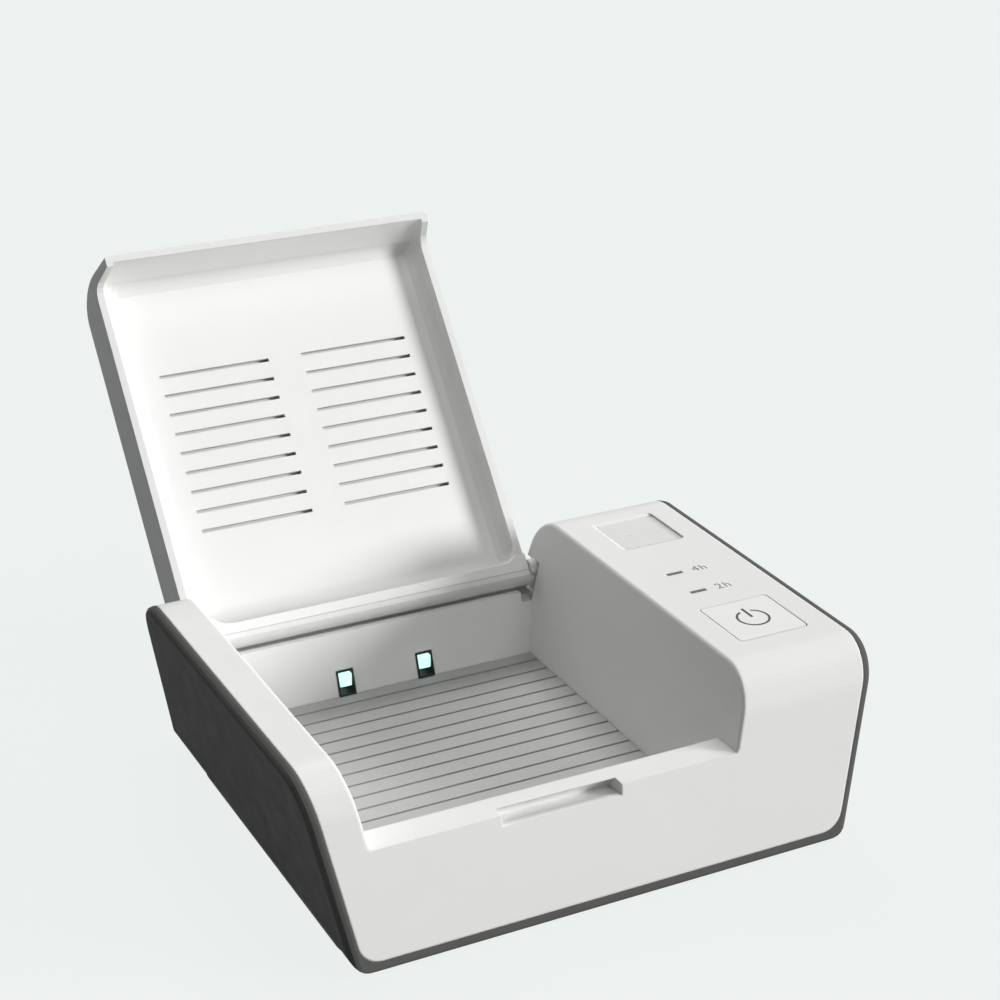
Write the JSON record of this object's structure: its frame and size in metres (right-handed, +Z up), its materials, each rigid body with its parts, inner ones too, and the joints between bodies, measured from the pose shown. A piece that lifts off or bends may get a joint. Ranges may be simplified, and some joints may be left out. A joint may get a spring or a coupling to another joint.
{
  "type": "hearing aid dryer",
  "caption": "Countertop drying box for hearing aids, with a white chamber, open hinged slotted lid, lamp windows, button pod and grey side sleeve.",
  "frame": {"origin": "middle of the underside of the rubber foot mat, where the box rests on a table", "axes": "+Z up, +X to the right towards the control pod, +Y to the back towards the lid's hinge; modelled at rest with the lid open on its stop"},
  "size_m": [0.1568, 0.1901, 0.1241],
  "materials": {
    "white_shell": "satin",
    "liner_plastic": "satin",
    "button_plastic": "satin",
    "floor_plastic": "satin",
    "grey_shell": "fine matte",
    "foot_plastic": "matte",
    "foot_rubber": "matte",
    "pin_steel": "satin",
    "bezel_plastic": "matte",
    "lamp_plastic": "gloss",
    "guide_plastic": "gloss",
    "led_plastic": "gloss",
    "lens_plastic": "satin",
    "black_plastic": "matte",
    "board_green": "satin",
    "screw_steel": "satin",
    "magnet_metal": "satin",
    "heater_aluminium": "brushed"
  },
  "bodies": {
    "case": {"outer_shell": "grey_shell", "upper_shell": "white_shell", "floor_tray": "floor_plastic", "bottom_cover": "foot_plastic", "foot_mat": "foot_rubber", "case_screws": "screw_steel", "hinge_pin_left": "pin_steel", "hinge_pin_right": "pin_steel", "switch_body": "black_plastic", "light_guide_4h": "guide_plastic", "light_guide_2h": "guide_plastic", "display_lens": "lens_plastic", "display_module": "black_plastic", "control_board": "board_green", "board_screws": "screw_steel", "status_leds": "led_plastic", "lid_sensor": "black_plastic", "fan_frame": "black_plastic", "air_duct": "black_plastic", "heater": "heater_aluminium", "uv_board": "board_green", "uv_screws": "screw_steel", "uv_bezel_left": "bezel_plastic", "uv_bezel_right": "bezel_plastic", "uv_lamp_left": "lamp_plastic", "uv_lamp_right": "lamp_plastic", "dc_inlet": "black_plastic"},
    "lid": {"lid_shell": "white_shell", "lid_liner": "liner_plastic", "lid_magnet": "magnet_metal"},
    "button": {"power_button": "button_plastic", "switch_plunger": "black_plastic"},
    "impeller": {"fan_impeller": "black_plastic"}
  },
  "joints": [
    {"name": "lid_hinge", "type": "hinge", "parent": "case", "child": "lid", "pos_m": [0, 0.053, 0.0365], "axis": [1, 0, 0], "range_deg": [0, 129.6]},
    {"name": "button_press", "type": "slide", "parent": "case", "child": "button", "axis": [0, 0, -1], "range_m": [0, 0.0006], "stiffness_N_per_m": 400, "springref_m": -0.0005},
    {"name": "fan_spin", "type": "hinge", "parent": "case", "child": "impeller", "pos_m": [0.0504, -0.024, 0.02], "axis": [0, 0, 1], "continuous": true}
  ]
}
